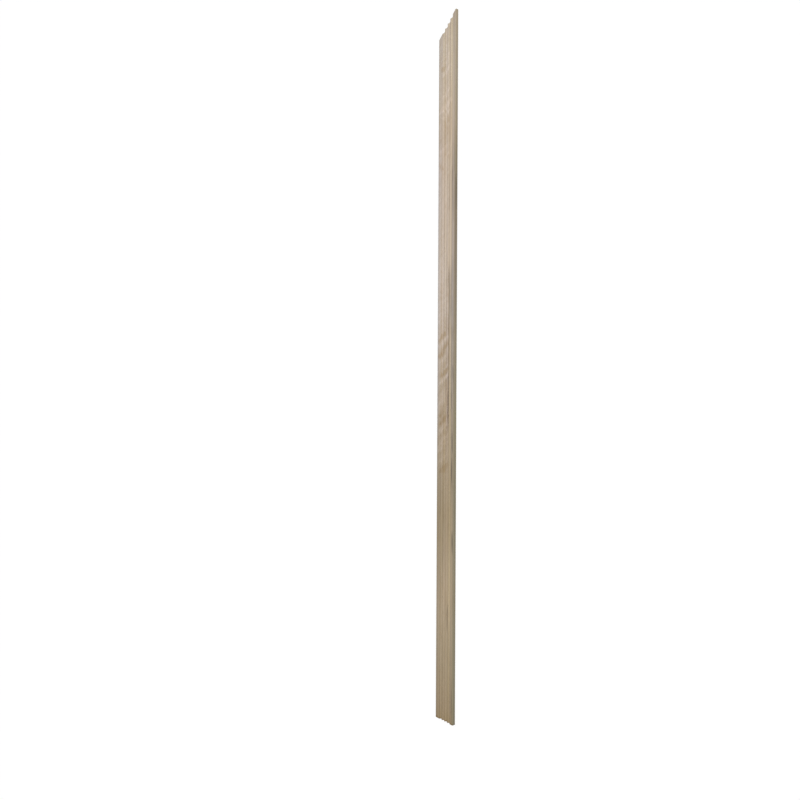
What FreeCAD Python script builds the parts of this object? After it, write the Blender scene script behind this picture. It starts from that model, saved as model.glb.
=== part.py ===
import FreeCAD, Part
import math
import os
from FreeCAD import Vector

os.makedirs("parts", exist_ok=True)

# One leg of a fluted wood architrave, in millimetres. It lies on its flat back: +X runs along
# the grain towards the mitred end, +Y towards the inner edge, beside the door opening, and +Z
# from the back to the face. Seen from the front it is the leg on the right of the door.
# The origin is under the middle of its box, on the back.

# Driving sizes
leg_length = 2050.0        # along the outer edge, from the square foot to the tip of the mitre
face_width = 70.0          # from the outer edge to the inner edge
stock_thickness = 10.0     # from the back to the two flat bands
mitre_angle = 45.0         # between the mitre and a square cut, in degrees
outer_band_width = 12.0    # from the outer edge to the first flute, rounded arris included
flute_count = 4
flute_width = 9.0          # across the mouth of one flute
flute_depth = 3.8          # from the edge of a ridge down to the floor of a flute
ridge_width = 2.0          # of the narrow ridge left between two flutes
ridge_drop = 0.6           # how far the edges of a ridge lie below the bands
ridge_crown = 0.3          # how far the rounded top of a ridge rises above its edges
outer_arris_radius = 2.5   # between the face and the outer edge
inner_arris_radius = 2.0   # between the face and the inner edge

# Places that follow from the driving sizes
outer_y = -face_width / 2
inner_y = face_width / 2
foot_x = -leg_length / 2
tip_x = leg_length / 2
mitre_run = face_width * math.tan(math.radians(mitre_angle))
ridge_z = stock_thickness - ridge_drop
flute_pitch = flute_width + ridge_width
first_flute_y = outer_y + outer_band_width


def at_foot(y, z):
    """A point of the section, in the plane of the square foot."""
    return Vector(foot_x, y, z)


def line(start, end):
    return Part.LineSegment(start, end).toShape()


def arc(start, middle, end):
    return Part.Arc(start, middle, end).toShape()


def quarter_round(centre_y, centre_z, radius, first_angle):
    """A quarter turn of the section, clockwise from an angle in degrees between +Y and +Z."""
    points = []
    for angle in (first_angle, first_angle - 45, first_angle - 90):
        turn = math.radians(angle)
        points.append(at_foot(centre_y + radius * math.cos(turn), centre_z + radius * math.sin(turn)))
    return arc(*points)


def fluted_edges():
    """The flutes and the ridges between them, from the outer band to the inner one."""
    edges = []
    near_edge = at_foot(first_flute_y, stock_thickness)
    for index in range(flute_count):
        is_last = index == flute_count - 1
        near_y = first_flute_y + index * flute_pitch
        far_y = near_y + flute_width
        floor = at_foot((near_y + far_y) / 2, ridge_z - flute_depth)
        far_edge = at_foot(far_y, stock_thickness if is_last else ridge_z)
        edges.append(arc(near_edge, floor, far_edge))
        near_edge = far_edge
        if not is_last:
            crown = at_foot(far_y + ridge_width / 2, ridge_z + ridge_crown)
            near_edge = at_foot(far_y + ridge_width, ridge_z)
            edges.append(arc(far_edge, crown, near_edge))
    return edges, near_edge


def section_face():
    """The section as it leaves the planer, from the back round by the outer edge to the inner one."""
    outer_arris_y = outer_y + outer_arris_radius
    outer_arris_z = stock_thickness - outer_arris_radius
    inner_arris_y = inner_y - inner_arris_radius
    inner_arris_z = stock_thickness - inner_arris_radius
    flutes, last_edge = fluted_edges()
    edges = [
        line(at_foot(inner_y, 0), at_foot(outer_y, 0)),
        line(at_foot(outer_y, 0), at_foot(outer_y, outer_arris_z)),
        quarter_round(outer_arris_y, outer_arris_z, outer_arris_radius, 180),
        line(at_foot(outer_arris_y, stock_thickness), at_foot(first_flute_y, stock_thickness)),
        *flutes,
        line(last_edge, at_foot(inner_arris_y, stock_thickness)),
        quarter_round(inner_arris_y, inner_arris_z, inner_arris_radius, 90),
        line(at_foot(inner_y, inner_arris_z), at_foot(inner_y, 0)),
    ]
    return Part.Face(Part.Wire(edges))


def mitre_offcut():
    """The wedge that the saw takes off the top, with the tip left whole on the outer edge."""
    saw_room = stock_thickness
    overrun = saw_room * math.tan(math.radians(mitre_angle))
    end_x = tip_x + overrun + saw_room
    corners = [
        Vector(tip_x + overrun, outer_y - saw_room, -saw_room),
        Vector(tip_x - mitre_run - overrun, inner_y + saw_room, -saw_room),
        Vector(end_x, inner_y + saw_room, -saw_room),
        Vector(end_x, outer_y - saw_room, -saw_room),
    ]
    outline = Part.makePolygon(corners + corners[:1])
    return Part.Face(outline).extrude(Vector(0, 0, stock_thickness + 2 * saw_room))


stock = section_face().extrude(Vector(leg_length, 0, 0))
leg = stock.cut(mitre_offcut()).Solids[0]
leg.exportStep("parts/architrave_leg.step")

box = leg.BoundBox
print("architrave_leg", leg.ShapeType, "valid", leg.isValid())
print("box %.2f x %.2f x %.2f mm" % (box.XLength, box.YLength, box.ZLength))
print("volume %.1f cm3" % (leg.Volume / 1000))
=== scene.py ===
import math

import bmesh
import bpy
from mathutils import Matrix, Vector, noise


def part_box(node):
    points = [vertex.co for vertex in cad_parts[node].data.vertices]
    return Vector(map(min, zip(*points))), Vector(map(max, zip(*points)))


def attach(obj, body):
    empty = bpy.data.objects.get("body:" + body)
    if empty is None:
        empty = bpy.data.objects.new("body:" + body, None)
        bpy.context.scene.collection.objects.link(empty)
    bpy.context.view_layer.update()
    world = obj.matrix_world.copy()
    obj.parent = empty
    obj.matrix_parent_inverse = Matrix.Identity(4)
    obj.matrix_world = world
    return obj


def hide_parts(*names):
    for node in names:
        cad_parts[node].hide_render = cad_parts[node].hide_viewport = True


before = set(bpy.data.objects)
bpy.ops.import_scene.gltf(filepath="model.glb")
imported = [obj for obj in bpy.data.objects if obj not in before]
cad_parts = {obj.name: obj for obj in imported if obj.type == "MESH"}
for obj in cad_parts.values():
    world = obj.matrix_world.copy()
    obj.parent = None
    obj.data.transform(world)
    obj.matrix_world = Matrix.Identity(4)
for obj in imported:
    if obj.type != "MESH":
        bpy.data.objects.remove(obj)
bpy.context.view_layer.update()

legLow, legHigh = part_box("architrave_leg")
print("frame loaded")


# Node helpers

def addNode(tree, kind, inputs=None, **settings):
    node = tree.nodes.new(kind)
    for name, value in settings.items():
        setattr(node, name, value)
    for socket, value in (inputs or {}).items():
        if isinstance(value, bpy.types.NodeSocket):
            tree.links.new(value, node.inputs[socket])
        else:
            node.inputs[socket].default_value = value
    return node


def fromScreen(red, green, blue):         # 0 to 255 as seen on a screen, to the shader's linear colour
    linear = []
    for level in (red, green, blue):
        share = level / 255
        linear.append(share / 12.92 if share <= 0.04045 else ((share + 0.055) / 1.055) ** 2.4)
    return (*linear, 1.0)


def noiseOf(tree, coords, pace, detail, rough=0.5):    # the pace is in waves per metre, one for each axis
    stretched = addNode(tree, "ShaderNodeMapping", {"Vector": coords, "Scale": pace})
    return addNode(tree, "ShaderNodeTexNoise", {
        "Vector": stretched.outputs["Vector"], "Scale": 1.0, "Detail": detail, "Roughness": rough})


def rangeOf(tree, value, low, high, toLow=0.0, toHigh=1.0, smooth=True):
    node = addNode(tree, "ShaderNodeMapRange", {
        "Value": value, "From Min": low, "From Max": high, "To Min": toLow, "To Max": toHigh})
    node.interpolation_type = "SMOOTHSTEP" if smooth else "LINEAR"
    return node.outputs["Result"]


def maths(tree, operation, first, second=None):
    inputs = {0: first} if second is None else {0: first, 1: second}
    return addNode(tree, "ShaderNodeMath", inputs, operation=operation).outputs[0]


def times(tree, first, second):
    return maths(tree, "MULTIPLY", first, second)


def vectorMaths(tree, operation, first, second):
    return addNode(tree, "ShaderNodeVectorMath", {0: first, 1: second}, operation=operation)


def mixed(tree, share, under, over, blend="MIX"):
    node = addNode(tree, "ShaderNodeMix", {0: share, 6: under, 7: over}, data_type="RGBA", blend_type=blend)
    return node.outputs[2]


def ramp(tree, value, stops):
    node = addNode(tree, "ShaderNodeValToRGB", {"Fac": value})
    band = node.color_ramp
    band.elements[0].position, band.elements[0].color = stops[0]
    band.elements[1].position, band.elements[1].color = stops[-1]
    for place, colour in stops[1:-1]:
        band.elements.new(place).color = colour
    return node.outputs["Color"]


# The wood: bare quarter-cut stock, pale at the mitred end and yellower and darker at the foot, the darkening
# partly painted light falloff, with a grey stain along the outer band, painted shade on the outer edge and
# along the ridges

wood = {                                  # places and reaches are in metres
    "toneAndFalloffStops": (                        # metres along the leg, and the colour of the face there, partly painted light falling off to the foot
        (-1.025, fromScreen(146, 129, 100)),
        (-0.985, fromScreen(152, 136, 112)),
        (-0.830, fromScreen(160, 146, 123)),
        (-0.645, fromScreen(173, 158, 134)),
        (-0.430, fromScreen(160, 145, 119)),
        (-0.200, fromScreen(169, 155, 135)),
        (0.080, fromScreen(185, 173, 158)),
        (0.310, fromScreen(198, 186, 173)),
        (0.470, fromScreen(199, 187, 174)),
        (0.670, fromScreen(192, 178, 161)),
        (0.930, fromScreen(193, 182, 166)),
        (1.025, fromScreen(185, 173, 156))),
    "shadedSideStops": (                        # the same, for the outer edge, darker as painted shade
        (-1.025, fromScreen(126, 119, 99)),
        (-0.627, fromScreen(140, 131, 109)),
        (-0.420, fromScreen(134, 127, 105)),
        (-0.140, fromScreen(146, 139, 115)),
        (0.075, fromScreen(153, 144, 123)),
        (0.270, fromScreen(142, 132, 113)),
        (0.417, fromScreen(142, 131, 112)),
        (0.580, fromScreen(148, 138, 116)),
        (0.700, fromScreen(157, 145, 124)),
        (0.946, fromScreen(167, 156, 138))),
    "shadedSideReach": (-0.0300, -0.0340),      # across the leg, where the outer edge's painted shade starts and is full

    "ringWidth": 0.0042,                  # one year's growth
    "pithPlace": (0.0, 0.165, -0.05),     # the heart of the tree, beyond the inner edge
    "ringDetail": 2.0,
    "faceRings": (1.2, 0.4),              # how much the rings waver on the face, and how finely
    "lateLevels": (0.30, 0.95),           # of a ring, where the dark late wood starts and is full
    "earlyLevels": (0.42, 0.10),          # and the early wood, which has most of the pores
    "earlyShares": (0.15, 1.0),
    "lateShare": 0.45,
    "poreShare": 0.7,
    "swayDetail": 3,
    # how the coordinates wander: the pace in waves per metre, and how far in metres
    "grainSway": ((1.6, 9, 9), (0, 0.012, 0.012)),
    "crossSway": ((7, 420, 420), (0.034, 0.0020, 0)),
    "lineSway": ((25, 90, 90), (0, 0.0014, 0)),
    # layers of noise: pace along, across and through the leg, detail, roughness, the levels between which
    # the layer comes in, and its share at each
    "layers": {
        "yellow": ((9, 210, 210), 3, 0.60, (0.70, 0.35), (0.45, 1.0)),
        "grey": ((6, 190, 190), 3, 0.55, (0.40, 0.60), (0.45, 1.27)),
        "mottle": ((14, 45, 45), 3, 0.50, (0.50, 0.80), (0.0, 0.30)),
        "streaks": ((1.1, 190, 190), 3, 0.55, (0.40, 0.72), (0.0, 0.62)),
        "fibres": ((7, 1300, 1300), 4, 0.60, (0.35, 0.75), (0.0, 0.80)),
        "pores": ((150, 3600, 3600), 1, 0.50, (0.60, 0.68), (0.0, 1.0)),
        "warm": ((0.9, 150, 150), 3, 0.55, (0.48, 0.66), (0.0, 1.0)),
        "broken": ((5, 800, 800), 3, 0.60, (0.38, 0.62), (0.55, 1.30)),
        "endPores": ((900, 3200, 3200), 1, 0.50, (0.52, 0.64), (0.0, 0.80)),
        "endSaw": ((60, 90, 1500), 2, 0.50, (0.50, 0.75), (0.0, 0.70))},
    "coolLevels": (0.52, 0.34),           # of the warm layer's noise, where the wood turns cool

    "lateTint": (0.80, 0.77, 0.72, 1),    # the tints multiply the face's colour
    "streakTint": (0.80, 0.76, 0.71, 1),
    "fibreTint": (0.84, 0.81, 0.77, 1),
    "poreTint": (0.52, 0.46, 0.40, 1),
    "yellowTint": (1.07, 1.06, 0.89, 1),
    "greyTints": (                        # metres along the leg, and the tint of the grey stain there
        (-1.025, (0.76, 0.78, 0.84, 1)),
        (-0.100, (0.74, 0.77, 0.80, 1)),
        (-0.030, (0.73, 0.75, 0.78, 1)),
        (0.060, (0.82, 0.85, 0.90, 1)),
        (0.200, (0.85, 0.89, 0.97, 1)),
        (0.340, (0.84, 0.84, 0.86, 1)),
        (0.430, (0.79, 0.79, 0.80, 1)),
        (0.560, (0.67, 0.66, 0.67, 1))),
    "stainTint": (0.42, 0.42, 0.46, 1),
    "lineTint": (0.19, 0.13, 0.12, 1),
    "figureTint": (0.80, 0.72, 0.58, 1),
    "paleTint": (1.18, 1.20, 1.28, 1),
    "warmTint": (1.03, 1.0, 0.92, 1),
    "coolTint": (0.99, 0.97, 1.01, 1),

    "yellowBand": (-0.0165, 0.0045),      # its middle across the leg, and how far it reaches
    "yellowStops": ((-1.025, 0.75), (-0.10, 0.6), (0.05, 0.15), (0.60, 0.05), (0.95, 0.15)),
    "greyReach": (-0.018, -0.027),        # across the leg, where the grey stain starts and where it is full
    "greySpread": 0.009,                  # how much nearer the middle it starts, where it is widest
    "spreadStops": ((-0.20, 0.0), (-0.10, 0.35), (-0.03, 0.6), (0.06, 0.3), (0.13, 0.9),
                    (0.24, 1.0), (0.33, 0.5), (0.60, 0.5), (0.72, 0.2)),
    "greyStops": ((-1.025, 0.35), (-0.415, 0.15), (-0.337, 0.8), (-0.239, 0.85), (-0.160, 0.5),
                  (-0.071, 1.0), (0.550, 1.0), (0.600, 0.55), (0.660, 0.2), (0.722, 0.05)),
    "coolBandReach": (0.018, 0.022),      # the inner band is a little bluer than the flutes
    "coolBandTint": (1.06, 1.085, 1.19, 1),
    "coolBandStops": ((-1.025, 0.05), (-0.41, 0.15), (-0.12, 0.85), (0.08, 1.0), (0.27, 0.7), (0.48, 0.8),
                      (0.59, 0.95), (0.75, 0.4), (0.92, 0.95)),
    "streakStops": ((-1.025, 0.65), (-0.288, 0.65), (0.110, 1.15), (0.574, 1.25), (1.025, 1.0)),
    "ridgeShadeTint": (0.80, 0.77, 0.74, 1),  # painted shade along the ridges and the edges of the flutes
    "ridgeShadeReach": (0.0034, 0.0010),      # from the middle of a ridge: where it ends, and where it is full
    "ridgeShadeFade": 0.003,                  # how soon it ends past the last flute
    "ridgeShadeStops": ((-1.025, 0.12), (-0.35, 0.12), (-0.13, 0.15), (-0.03, 0.15), (0.05, 0.40),
                    (0.20, 0.45), (0.55, 0.50), (0.70, 0.10), (1.025, 0.0)),
    "arrisTint": (0.82, 0.83, 0.84, 1),   # handling marks along the inner arris
    "arrisReach": (0.0250, 0.0318),       # where they start, and where they are full
    "arrisStops": ((-1.025, 0.55), (-0.30, 0.5), (-0.08, 0.8), (0.10, 0.85), (0.25, 1.0),
                   (0.50, 1.0), (0.60, 0.75), (0.70, 0.6), (1.025, 0.55)),
    "crossTurn": 130,                     # degrees: the way the figure lies
    "crossSize": (0.026, 0.0055, 0.02),   # one fleck of it
    "crossDetail": 2,
    "crossStops": ((-1.025, 0.10), (-0.36, 0.15), (-0.24, 0.7), (0.12, 0.9), (0.30, 0.35),
                   (0.50, 0.6), (0.85, 0.8), (1.025, 0.5)),
    "crossReach": (-0.014, -0.004),       # across the leg, where it starts and is full
    "crossShares": (0.15, 1.0),
    "crossDark": (0.50, 0.30),            # levels of its noise that are dark, and those that are pale
    "crossPale": (0.50, 0.72),
    "crossShare": 0.5,

    "footTint": (0.68, 0.57, 0.43, 1),    # the darker, browner edge of the sawn foot
    "footReach": 0.005,
    "footOnEnd": 0.35,                    # how much of the darkening is on the sawn face itself

    "markEdge": 0.275,                    # where a mark is at half strength: 0 is its rim, 1 its middle
    "softEdge": 0.55,                     # how widely the edge of a stain or a line fades
    "firmEdge": 0.36,                     # and that of the figure and the flecks
    # marks: along, across, half length, half width, turn in degrees, strength
    "stains": (                           # grey, along the grain
        (0.590, -0.0315, 0.060, 0.0030, 0, 0.34),
        (0.530, -0.0255, 0.050, 0.0034, 1, 0.28),
        (0.500, -0.0345, 0.065, 0.0030, 0, 0.30),
        (0.465, -0.0262, 0.040, 0.0030, 1, 0.20),
        (0.261, -0.0260, 0.060, 0.0040, 1, 0.24),
        (0.210, -0.0158, 0.090, 0.0055, 0, 0.30),
        (0.165, -0.0270, 0.045, 0.0045, -1, 0.12),
        (0.089, -0.0280, 0.030, 0.0050, -2, 0.25),
        (0.020, -0.0075, 0.330, 0.0050, 0, 0.12),
        (-0.024, -0.0300, 0.030, 0.0045, 2, 0.50),
        (-0.101, -0.0240, 0.045, 0.0026, -1, 0.60),
        (-0.225, -0.0285, 0.038, 0.0032, 1, 0.68),
        (-0.306, -0.0265, 0.050, 0.0030, -1, 0.72),
        (-0.490, 0.0210, 0.260, 0.0240, 0, 0.22),
        (-0.507, -0.0300, 0.045, 0.0034, 1, 0.85),
        (-0.964, -0.0300, 0.040, 0.0030, 0, 0.40)),
    "lines": (                            # thin and dark, in the flutes
        (0.480, -0.0086, 0.120, 0.0028, 0, 0.50),
        (0.250, -0.0085, 0.064, 0.0030, 0, 1.05),
        (0.185, -0.0085, 0.045, 0.0026, 0, 0.60),
        (0.115, -0.0085, 0.055, 0.0030, 0, 0.85),
        (0.055, -0.0084, 0.050, 0.0028, 0, 0.62),
        (0.010, -0.0072, 0.045, 0.0026, -1, 0.55),
        (-0.044, -0.0068, 0.034, 0.0024, 0, 0.72),
        (-0.070, 0.0028, 0.062, 0.0030, 0, 0.32),
        (-0.118, -0.0077, 0.082, 0.0034, 0, 1.30),
        (-0.168, -0.0064, 0.040, 0.0030, 0, 0.25),
        (-0.730, -0.0078, 0.050, 0.0026, 0, 0.75)),
    "figure": (                           # brown, mostly across the grain
        (0.864, 0.0190, 0.016, 0.0080, 40, 0.45),
        (0.775, 0.0010, 0.014, 0.0050, 20, 0.35),
        (0.715, -0.0020, 0.018, 0.0055, 0, 0.50),
        (0.700, 0.0080, 0.018, 0.0035, 5, 0.45),
        (0.684, -0.0020, 0.018, 0.0050, 0, 0.35),
        (0.578, 0.0240, 0.020, 0.0070, 30, 0.45),
        (0.082, 0.0150, 0.028, 0.0085, 130, 0.75),
        (0.053, 0.0040, 0.026, 0.0080, 130, 0.65),
        (0.030, 0.0180, 0.024, 0.0085, 130, 0.75),
        (-0.001, 0.0060, 0.018, 0.0080, 130, 0.40),
        (-0.023, 0.0060, 0.030, 0.0095, 130, 0.75),
        (-0.085, -0.0022, 0.070, 0.0040, 0, 0.62),
        (-0.146, 0.0190, 0.020, 0.0060, 130, 0.55),
        (-0.161, 0.0100, 0.032, 0.0090, 130, 0.65),
        (-0.300, 0.0060, 0.034, 0.0120, 130, 0.55),
        (-0.340, -0.0050, 0.300, 0.0060, 0, 0.14)),
    "flecks": (                           # pale
        (0.893, 0.0000, 0.032, 0.0060, 160, 0.55),
        (0.876, 0.0230, 0.016, 0.0060, 150, 0.55),
        (0.858, 0.0020, 0.030, 0.0070, 130, 0.75),
        (0.792, 0.0050, 0.024, 0.0065, 130, 0.80),
        (0.770, -0.0275, 0.190, 0.0060, 0, 0.24),
        (0.760, 0.0070, 0.150, 0.0040, 0, 0.20),
        (0.753, 0.0080, 0.046, 0.0105, 124, 1.00),
        (0.730, 0.0060, 0.030, 0.0060, 130, 0.80),
        (0.627, 0.0140, 0.026, 0.0080, 130, 0.70),
        (0.605, 0.0020, 0.030, 0.0060, 140, 0.55),
        (0.520, 0.0060, 0.150, 0.0045, 0, 0.28),
        (0.360, -0.0308, 0.075, 0.0046, 0, 0.45),
        (0.152, 0.0220, 0.220, 0.0200, 0, 0.45),
        (0.067, 0.0130, 0.036, 0.0055, 130, 0.95),
        (0.014, 0.0150, 0.024, 0.0060, 130, 0.65),
        (-0.043, 0.0090, 0.034, 0.0065, 128, 1.00),
        (-0.100, 0.0150, 0.055, 0.0150, 160, 0.60),
        (-0.118, -0.0036, 0.080, 0.0020, 0, 0.50),
        (-0.182, 0.0100, 0.034, 0.0090, 130, 0.70),
        (-0.229, 0.0160, 0.045, 0.0120, 150, 0.55),
        (-0.273, 0.0120, 0.030, 0.0070, 130, 0.50),
        (-0.420, -0.0285, 0.100, 0.0065, 0, 0.42),
        (-0.800, -0.0150, 0.170, 0.0040, 0, 0.24)),

    "endTint": (0.90, 0.85, 0.78, 1),     # end grain drinks the light
    "endRingTint": (0.72, 0.66, 0.58, 1),
    "endPoreTint": (0.62, 0.56, 0.50, 1),
    "endSawTint": (0.84, 0.81, 0.77, 1),
    "endRings": (0.8, 0.5),               # as faceRings
    "endRingLevels": (0.35, 0.95),
    "endDepth": 0.0007,                   # how far its colour reaches from the sawn ends
    "endFull": 0.0001,                    # and how near them it is full

    "roughness": 0.66,
    "specular": 0.35,
    "fibreRise": 0.00018,                 # metres, for the bump of what is finer than the mesh
    "bumpStrength": 0.7,
    "bumpShares": (0.6, 0.8, 0.25),       # fibres up, pores down, late wood up
}


def tinted(tree, colour, tint, share):
    return mixed(tree, share, colour, tint, "MULTIPLY")


def alongRamp(tree, along, stops):        # a colour, or a grey level, that changes along the leg
    length = legHigh.x - legLow.x
    shares = [((place - legLow.x) / length, level if isinstance(level, tuple) else (level,) * 3 + (1,))
              for place, level in stops]
    return ramp(tree, rangeOf(tree, along, legLow.x, legHigh.x, smooth=False), shares)


def layer(tree, coords, name):            # one layer of noise: its plain level, and the share that it gives
    pace, detail, rough, levels, shares = wood["layers"][name]
    level = noiseOf(tree, coords, pace, detail, rough).outputs["Fac"]
    return level, rangeOf(tree, level, *levels, *shares)


def marksOf(tree, coords, marks, fade):   # spindles, full in the middle and fading out
    total = None
    for along, across, length, width, turn, strength in marks:
        placed = addNode(tree, "ShaderNodeMapping", {
            "Vector": coords, "Location": (along, across, legHigh.z),
            "Rotation": (0, 0, math.radians(turn)), "Scale": (length, width, 3 * legHigh.z)},
            vector_type="TEXTURE")
        ball = addNode(tree, "ShaderNodeTexGradient", {"Vector": placed.outputs[0]},
                       gradient_type="SPHERICAL")
        mark = rangeOf(tree, ball.outputs["Fac"], wood["markEdge"] - fade / 2, wood["markEdge"] + fade / 2,
                       0.0, strength)
        total = mark if total is None else maths(tree, "MAXIMUM", total, mark)
    return total


def swayed(tree, coords, pace, reach):    # coordinates that wander a little, so that no mark is even
    drift = noiseOf(tree, coords, pace, wood["swayDetail"])
    centred = vectorMaths(tree, "SUBTRACT", drift.outputs["Color"], (0.5, 0.5, 0.5))
    swing = vectorMaths(tree, "MULTIPLY", centred.outputs[0], reach)
    return vectorMaths(tree, "ADD", coords, swing.outputs[0]).outputs[0]


def ringsOf(tree, grain, waver, fineness):     # growth rings round the heart of the tree, 0 to 1 in each
    heart = vectorMaths(tree, "SUBTRACT", grain, wood["pithPlace"])
    rings = addNode(tree, "ShaderNodeTexWave", {
        "Vector": heart.outputs[0], "Scale": math.tau / 20 / wood["ringWidth"],
        "Distortion": waver, "Detail": wood["ringDetail"], "Detail Scale": fineness},
        wave_type="RINGS", rings_direction="X", wave_profile="SAW")
    return rings.outputs["Fac"]


def endMask(tree, coords):                # 1 on the square foot and on the mitre
    turn = math.radians(leg["mitreAngle"])
    outward = (math.cos(turn), math.sin(turn), 0)
    tip = Vector((legHigh.x, legLow.y, 0)).dot(outward)
    masks = []
    for direction, reach in ((outward, tip), ((-1, 0, 0), -legLow.x)):
        distance = vectorMaths(tree, "DOT_PRODUCT", coords, direction).outputs["Value"]
        masks.append(rangeOf(tree, distance, reach - wood["endDepth"], reach - wood["endFull"]))
    return maths(tree, "MAXIMUM", *masks)


def endGrain(tree, colour, coords, grain, onEnd):      # the sawn ends: darker, with rings and open pores
    rings = rangeOf(tree, ringsOf(tree, grain, *wood["endRings"]), *wood["endRingLevels"])
    end = tinted(tree, colour, wood["endTint"], 1.0)
    end = tinted(tree, end, wood["endRingTint"], rings)
    end = tinted(tree, end, wood["endPoreTint"], layer(tree, coords, "endPores")[1])
    end = tinted(tree, end, wood["endSawTint"], layer(tree, coords, "endSaw")[1])
    return mixed(tree, onEnd, colour, end)


def broadTones(tree, along, across, grain):
    # the face's own tone along the leg, with painted light that falls off towards the foot
    face = alongRamp(tree, along, wood["toneAndFalloffStops"])
    middle, reach = wood["yellowBand"]
    offMiddle = maths(tree, "ABSOLUTE", maths(tree, "SUBTRACT", across, middle))
    yellow = times(tree, rangeOf(tree, offMiddle, reach, 0), alongRamp(tree, along, wood["yellowStops"]))
    yellow = times(tree, yellow, layer(tree, grain, "yellow")[1])
    face = tinted(tree, face, wood["yellowTint"], yellow)
    spread = times(tree, alongRamp(tree, along, wood["spreadStops"]), wood["greySpread"])
    onBand = rangeOf(tree, maths(tree, "SUBTRACT", across, spread), *wood["greyReach"])
    grey = times(tree, alongRamp(tree, along, wood["greyStops"]), onBand)
    grey = times(tree, grey, layer(tree, grain, "grey")[1])
    face = tinted(tree, face, alongRamp(tree, along, wood["greyTints"]), grey)
    for name in ("coolBand", "arris"):
        share = times(tree, rangeOf(tree, across, *wood[name + "Reach"]),
                      alongRamp(tree, along, wood[name + "Stops"]))
        face = tinted(tree, face, wood[name + "Tint"], share)
    # painted shade: the outer edge takes a darker tone than the face
    onShadedSide = rangeOf(tree, across, *wood["shadedSideReach"])
    return mixed(tree, onShadedSide, face, alongRamp(tree, along, wood["shadedSideStops"]))


def ridgeShade(tree, along, across):         # 1 on each ridge and each edge of the flutes, where the painted shade goes
    pitch = leg["fluteWidth"] + leg["ridgeWidth"]
    firstRidge = legLow.y + leg["outerBand"] + leg["fluteWidth"] + leg["ridgeWidth"] / 2
    offRidge = maths(tree, "PINGPONG", maths(tree, "SUBTRACT", across, firstRidge), pitch / 2)
    lastEdge = firstRidge + (leg["fluteCount"] - 1) * pitch
    onFlutes = rangeOf(tree, across, lastEdge + wood["ridgeShadeFade"], lastEdge)
    ridgeShadeShare = times(tree, rangeOf(tree, offRidge, *wood["ridgeShadeReach"]), onFlutes)
    return times(tree, ridgeShadeShare, alongRamp(tree, along, wood["ridgeShadeStops"]))


def crossFigure(tree, crossing, along, across):        # the flecks that lie across the grain, dark and pale
    placed = addNode(tree, "ShaderNodeMapping", {
        "Vector": crossing, "Rotation": (0, 0, math.radians(wood["crossTurn"])), "Scale": wood["crossSize"]},
        vector_type="TEXTURE")
    flecks = addNode(tree, "ShaderNodeTexNoise", {
        "Vector": placed.outputs[0], "Scale": 1.0, "Detail": wood["crossDetail"]})
    level = times(tree, alongRamp(tree, along, wood["crossStops"]),
                  rangeOf(tree, across, *wood["crossReach"], *wood["crossShares"]))
    level = times(tree, level, wood["crossShare"])
    dark = times(tree, rangeOf(tree, flecks.outputs["Fac"], *wood["crossDark"]), level)
    pale = times(tree, rangeOf(tree, flecks.outputs["Fac"], *wood["crossPale"]), level)
    return dark, pale


def footDarkening(tree, along, fibres, onEnd):     # a few millimetres up the face, and lightly over the sawn foot
    ragged = times(tree, maths(tree, "SUBTRACT", fibres, 0.5), wood["footReach"])
    nearFoot = rangeOf(tree, maths(tree, "SUBTRACT", along, ragged), legLow.x + wood["footReach"], legLow.x)
    return times(tree, nearFoot, rangeOf(tree, onEnd, 0, 1, 1.0, wood["footOnEnd"]))


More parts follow.
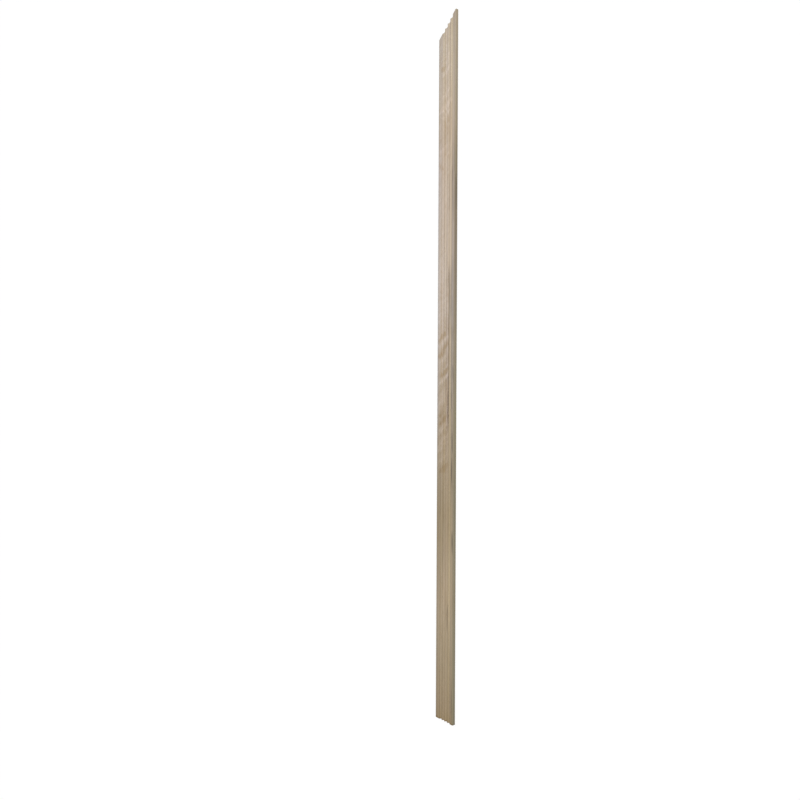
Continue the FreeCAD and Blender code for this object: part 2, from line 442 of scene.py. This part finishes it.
def makeWood():
    material = bpy.data.materials.new("bareWood")
    material.use_nodes = True
    tree = material.node_tree
    shader = tree.nodes["Principled BSDF"]
    coords = addNode(tree, "ShaderNodeTexCoord").outputs["Object"]
    place = addNode(tree, "ShaderNodeSeparateXYZ", {"Vector": coords})
    along, across = place.outputs["X"], place.outputs["Y"]
    grain = swayed(tree, coords, *wood["grainSway"])
    crossing = swayed(tree, coords, *wood["crossSway"])
    lengthwise = swayed(tree, coords, *wood["lineSway"])

    # rings, streaks, fibres and pores
    colour = broadTones(tree, along, across, grain)
    rings = ringsOf(tree, grain, *wood["faceRings"])
    late = rangeOf(tree, rings, *wood["lateLevels"])
    early = rangeOf(tree, rings, *wood["earlyLevels"], *wood["earlyShares"])
    streaks = times(tree, layer(tree, grain, "streaks")[1], alongRamp(tree, along, wood["streakStops"]))
    fibres, fibreShare = layer(tree, grain, "fibres")
    pores = times(tree, layer(tree, coords, "pores")[1], early)
    colour = tinted(tree, colour, wood["lateTint"], times(tree, late, wood["lateShare"]))
    colour = tinted(tree, colour, wood["streakTint"], streaks)
    colour = tinted(tree, colour, wood["fibreTint"], fibreShare)
    colour = tinted(tree, colour, wood["figureTint"], layer(tree, coords, "mottle")[1])
    colour = tinted(tree, colour, wood["poreTint"], times(tree, pores, wood["poreShare"]))

    # painted shade along the ridges, and the drift between warm and cool along the grain
    colour = tinted(tree, colour, wood["ridgeShadeTint"], ridgeShade(tree, along, across))
    drift, warm = layer(tree, grain, "warm")
    colour = tinted(tree, colour, wood["warmTint"], warm)
    colour = tinted(tree, colour, wood["coolTint"], rangeOf(tree, drift, *wood["coolLevels"]))

    # the figure that crosses the grain, dark and pale, and the stains and lines along it
    dark, pale = crossFigure(tree, crossing, along, across)
    colour = tinted(tree, colour, wood["figureTint"], dark)
    colour = tinted(tree, colour, wood["paleTint"], pale)
    figure = marksOf(tree, crossing, wood["figure"], wood["firmEdge"])
    flecks = marksOf(tree, crossing, wood["flecks"], wood["firmEdge"])
    colour = tinted(tree, colour, wood["figureTint"], figure)
    colour = tinted(tree, colour, wood["paleTint"], flecks)
    broken = layer(tree, grain, "broken")[1]
    stained = times(tree, marksOf(tree, crossing, wood["stains"], wood["softEdge"]), broken)
    colour = tinted(tree, colour, wood["stainTint"], stained)
    lined = times(tree, marksOf(tree, lengthwise, wood["lines"], wood["softEdge"]), broken)
    colour = tinted(tree, colour, wood["lineTint"], lined)

    # the sawn ends
    onEnd = endMask(tree, coords)
    # darker and browner at the foot edge, and lightly over the sawn foot
    colour = tinted(tree, colour, wood["footTint"], footDarkening(tree, along, fibres, onEnd))
    colour = endGrain(tree, colour, coords, grain, onEnd)
    tree.links.new(colour, shader.inputs["Base Color"])

    fibreUp, poreDown, lateUp = wood["bumpShares"]
    height = maths(tree, "SUBTRACT", times(tree, fibres, fibreUp), times(tree, pores, poreDown))
    height = maths(tree, "ADD", height, times(tree, late, lateUp))
    bump = addNode(tree, "ShaderNodeBump", {
        "Height": height, "Strength": wood["bumpStrength"], "Distance": wood["fibreRise"]})
    tree.links.new(bump.outputs["Normal"], shader.inputs["Normal"])
    shader.inputs["Roughness"].default_value = wood["roughness"]
    shader.inputs["Specular IOR Level"].default_value = wood["specular"]
    return material


# The leg: its section is drawn at the foot and extruded along the grain

leg = {                                   # in metres, unless a note says otherwise
    "outerBand": 0.012,                   # from the outer edge to the first flute
    "fluteCount": 4,
    "fluteWidth": 0.009,
    "fluteDepth": 0.0038,                 # below the edges of the ridges
    "ridgeWidth": 0.002,
    "ridgeDrop": 0.0006,                  # the ridges' edges below the bands
    "ridgeCrown": 0.0003,
    "outerArris": 0.0025,
    "innerArris": 0.002,
    "mitreAngle": 45.0,                   # degrees
    "sawnEdge": 0.00025,                  # softening of the edges that the saw left
    # how many pieces each run of the section is cut into
    "sidePieces": 5,
    "outerArrisPieces": 6,
    "outerBandPieces": 7,
    "flutePieces": 11,
    "ridgePieces": 3,
    "innerBandPieces": 10,
    "innerArrisPieces": 5,
    "backPieces": 24,
    "stations": 560,                      # rings of points along the length, for the relief
    "reliefDepth": 0.00004,               # how deep the planed surface lies on average
    # its waves: their pace along and across in waves per metre, a shift that sets them apart, and their depth
    "reliefWaves": ((9, 60, 3, 0.00004), (5, 520, 0, 0.00006)),
    "crispAngle": 35,                     # degrees: an edge that turns more than this isn't shaded smooth
    "nearEnough": 1e-6,                   # points as near as this are one
}


def lineTo(bm, pen, y, z, pieces):        # a straight run of the section, cut into pieces
    start = pen.co.copy()
    for piece in range(1, pieces + 1):
        pen = bmesh.ops.extrude_vert_indiv(bm, verts=[pen])["verts"][0]
        pen.co = start.lerp(Vector((start.x, y, z)), piece / pieces)
    return pen


def arcTo(bm, pen, centre, degrees, steps):
    spun = bmesh.ops.spin(bm, geom=[pen], cent=centre, axis=(1, 0, 0),
                          angle=math.radians(degrees), steps=steps)
    return [part for part in spun["geom_last"] if isinstance(part, bmesh.types.BMVert)][0]


def arcThrough(bm, pen, y, z, rise, steps):    # an arc to (y, z) that bulges by rise, or sinks if negative
    chord = Vector((pen.co.x, y, z)) - pen.co
    half = chord.length / 2
    radius = (half ** 2 + rise ** 2) / (2 * abs(rise))
    middle = pen.co + chord / 2
    square = Vector((0, -chord.z, chord.y)).normalized()   # points out of the face, for a run along +Y
    centre = middle - square * math.copysign(radius - abs(rise), rise)
    turn = 2 * math.degrees(math.atan2(half, radius - abs(rise)))
    return arcTo(bm, pen, centre, -math.copysign(turn, rise), steps)


def drawSection(bm):
    outerY, innerY, top = legLow.y, legHigh.y, legHigh.z
    ridgeZ = top - leg["ridgeDrop"]
    pen = bmesh.ops.create_vert(bm, co=(legLow.x, outerY, 0))["vert"][0]
    pen = lineTo(bm, pen, outerY, top - leg["outerArris"], leg["sidePieces"])
    pen = arcTo(bm, pen, (legLow.x, outerY + leg["outerArris"], top - leg["outerArris"]), -90,
                leg["outerArrisPieces"])
    nearY = outerY + leg["outerBand"]
    pen = lineTo(bm, pen, nearY, top, leg["outerBandPieces"])
    for index in range(leg["fluteCount"]):
        isLast = index == leg["fluteCount"] - 1
        farY = nearY + leg["fluteWidth"]
        pen = arcThrough(bm, pen, farY, top if isLast else ridgeZ, -leg["fluteDepth"], leg["flutePieces"])
        nearY = farY + leg["ridgeWidth"]
        if not isLast:
            pen = arcThrough(bm, pen, nearY, ridgeZ, leg["ridgeCrown"], leg["ridgePieces"])
    pen = lineTo(bm, pen, innerY - leg["innerArris"], top, leg["innerBandPieces"])
    pen = arcTo(bm, pen, (legLow.x, innerY - leg["innerArris"], top - leg["innerArris"]), -90,
                leg["innerArrisPieces"])
    pen = lineTo(bm, pen, innerY, 0, leg["sidePieces"])
    lineTo(bm, pen, outerY, 0, leg["backPieces"])
    bmesh.ops.remove_doubles(bm, verts=bm.verts, dist=leg["nearEnough"])


def relief(point):                        # how deep the surface lies under the planed form, in metres
    depth = leg["reliefDepth"]
    for along, across, shift, rise in leg["reliefWaves"]:
        depth += rise * noise.noise(Vector((point.x * along, point.y * across, point.z * across + shift)))
    return max(0.0, depth)


def makeLeg():
    bm = bmesh.new()
    drawSection(bm)
    foot = bmesh.ops.contextual_create(bm, geom=list(bm.edges))["faces"]
    drawn = bmesh.ops.extrude_face_region(bm, geom=foot)["geom"]
    bmesh.ops.translate(bm, vec=(legHigh.x - legLow.x + legHigh.z, 0, 0),
                        verts=[part for part in drawn if isinstance(part, bmesh.types.BMVert)])

    turn = math.radians(leg["mitreAngle"])
    sawn = bmesh.ops.bisect_plane(bm, geom=[*bm.verts, *bm.edges, *bm.faces], dist=leg["nearEnough"],
                                  plane_co=(legHigh.x, legLow.y, 0),
                                  plane_no=(math.cos(turn), math.sin(turn), 0), clear_outer=True)
    cutEdges = [part for part in sawn["geom_cut"] if isinstance(part, bmesh.types.BMEdge)]
    bmesh.ops.contextual_create(bm, geom=cutEdges)
    bmesh.ops.recalc_face_normals(bm, faces=bm.faces)

    halfLength = (legHigh.x - legLow.x) / 2
    endEdges = [edge for edge in bm.edges if edge.calc_length() < halfLength]
    bmesh.ops.bevel(bm, geom=endEdges, offset=leg["sawnEdge"], offset_type="OFFSET", segments=2,
                    profile=0.5, affect="EDGES", material=-1)
    longEdges = [edge for edge in bm.edges if edge.calc_length() > halfLength]
    bmesh.ops.subdivide_edges(bm, edges=longEdges, cuts=leg["stations"], use_grid_fill=True)

    for face in bm.faces:
        face.smooth = True
    for edge in bm.edges:
        edge.smooth = edge.is_manifold and edge.calc_face_angle() < math.radians(leg["crispAngle"])
    bm.normal_update()
    for vert in bm.verts:                 # the relief goes into the sides and leaves the length as it is
        vert.co -= Vector((0, vert.normal.y, vert.normal.z)).normalized() * relief(vert.co)

    mesh = bpy.data.meshes.new("planedLeg")
    bm.to_mesh(mesh)
    bm.free()
    piece = bpy.data.objects.new("planedLeg", mesh)
    bpy.context.scene.collection.objects.link(piece)
    mesh.materials.append(bareWood)
    return piece


bareWood = makeWood()
print("wood made")
planedLeg = makeLeg()
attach(planedLeg, "root")
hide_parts("architrave_leg")
print("leg made:", len(planedLeg.data.vertices), "points")


# Floor, sky and light

stage = {
    "floorSize": 60.0,
    "floorDrop": 0.0002,                  # keeps the floor clear of the flat back
    "floorColour": fromScreen(196, 196, 196),
    "floorGlow": 0.460,                   # makes the floor read white in the picture, and lights nothing
    "skyLight": 0.30,
    "sunTowards": (0.20, -0.60, 0.77),    # from the leg to the key light
    "sunStrength": 2.82,
    "sunWidth": 24.0,                     # degrees across, which makes the shadow's edge soft
}


def rayShown(tree):                       # 1 for a ray that is seen, straight, mirrored or through glass
    path = addNode(tree, "ShaderNodeLightPath")
    seen = maths(tree, "MAXIMUM", path.outputs["Is Camera Ray"], path.outputs["Is Glossy Ray"])
    return maths(tree, "MAXIMUM", seen, path.outputs["Is Transmission Ray"])


def makeFloor():
    bm = bmesh.new()
    bmesh.ops.create_grid(bm, x_segments=1, y_segments=1, size=stage["floorSize"])
    bmesh.ops.translate(bm, vec=(0, 0, -stage["floorDrop"]), verts=bm.verts)
    mesh = bpy.data.meshes.new("floor")
    bm.to_mesh(mesh)
    bm.free()
    floor = bpy.data.objects.new("floor", mesh)
    bpy.context.scene.collection.objects.link(floor)

    material = bpy.data.materials.new("paleFloor")
    material.use_nodes = True
    tree = material.node_tree
    tree.nodes.clear()
    matt = addNode(tree, "ShaderNodeBsdfDiffuse", {"Color": stage["floorColour"]})
    glow = addNode(tree, "ShaderNodeEmission", {
        "Color": (1, 1, 1, 1), "Strength": times(tree, rayShown(tree), stage["floorGlow"])})
    both = addNode(tree, "ShaderNodeAddShader", {0: matt.outputs[0], 1: glow.outputs[0]})
    addNode(tree, "ShaderNodeOutputMaterial", {"Surface": both.outputs[0]})
    mesh.materials.append(material)


def makeSky():
    world = bpy.data.worlds.new("studio")
    bpy.context.scene.world = world
    world.use_nodes = True
    tree = world.node_tree
    tree.nodes.clear()
    level = rangeOf(tree, rayShown(tree), 0, 1, stage["skyLight"], 1.0, smooth=False)
    light = addNode(tree, "ShaderNodeBackground", {"Color": (1, 1, 1, 1), "Strength": level})
    addNode(tree, "ShaderNodeOutputWorld", {"Surface": light.outputs[0]})


def facing(place, aim, upward):
    back = (Vector(place) - Vector(aim)).normalized()
    right = Vector(upward).cross(back).normalized()
    matrix = Matrix((right, back.cross(right), back)).transposed().to_4x4()
    matrix.translation = place
    return matrix


def makeSun():
    lamp = bpy.data.lights.new("softSun", "SUN")
    lamp.energy = stage["sunStrength"]
    lamp.angle = math.radians(stage["sunWidth"])
    holder = bpy.data.objects.new("softSun", lamp)
    holder.matrix_world = facing(stage["sunTowards"], (0, 0, 0), (1, 0, 0))
    bpy.context.scene.collection.objects.link(holder)


makeFloor()
makeSky()
makeSun()
bpy.context.scene.view_settings.view_transform = "Standard"
print("stage set")


# Camera, looking down on the leg from its outer side with the mitred end at the top of the frame

lookout = {
    "place": (-0.0185, -1.5061, 1.4616),
    "aim": (0.0146, 0.2158, 0.0),
    "upward": (1, -0.0073, 0.0140),
    "lens": 32.46,                        # millimetres
    "sensor": 36.0,                       # its width, in millimetres too
    "shiftUp": -0.05,                     # of the picture, as a share of its width
    "farLimit": 200,                      # metres, far enough for the floor
}


def makeCamera():
    camera = bpy.data.cameras.new("camera")
    camera.sensor_width = lookout["sensor"]
    camera.lens = lookout["lens"]
    camera.shift_y = lookout["shiftUp"]
    camera.clip_end = lookout["farLimit"]
    holder = bpy.data.objects.new("camera", camera)
    holder.matrix_world = facing(lookout["place"], lookout["aim"], lookout["upward"])
    bpy.context.scene.collection.objects.link(holder)
    bpy.context.scene.camera = holder


makeCamera()
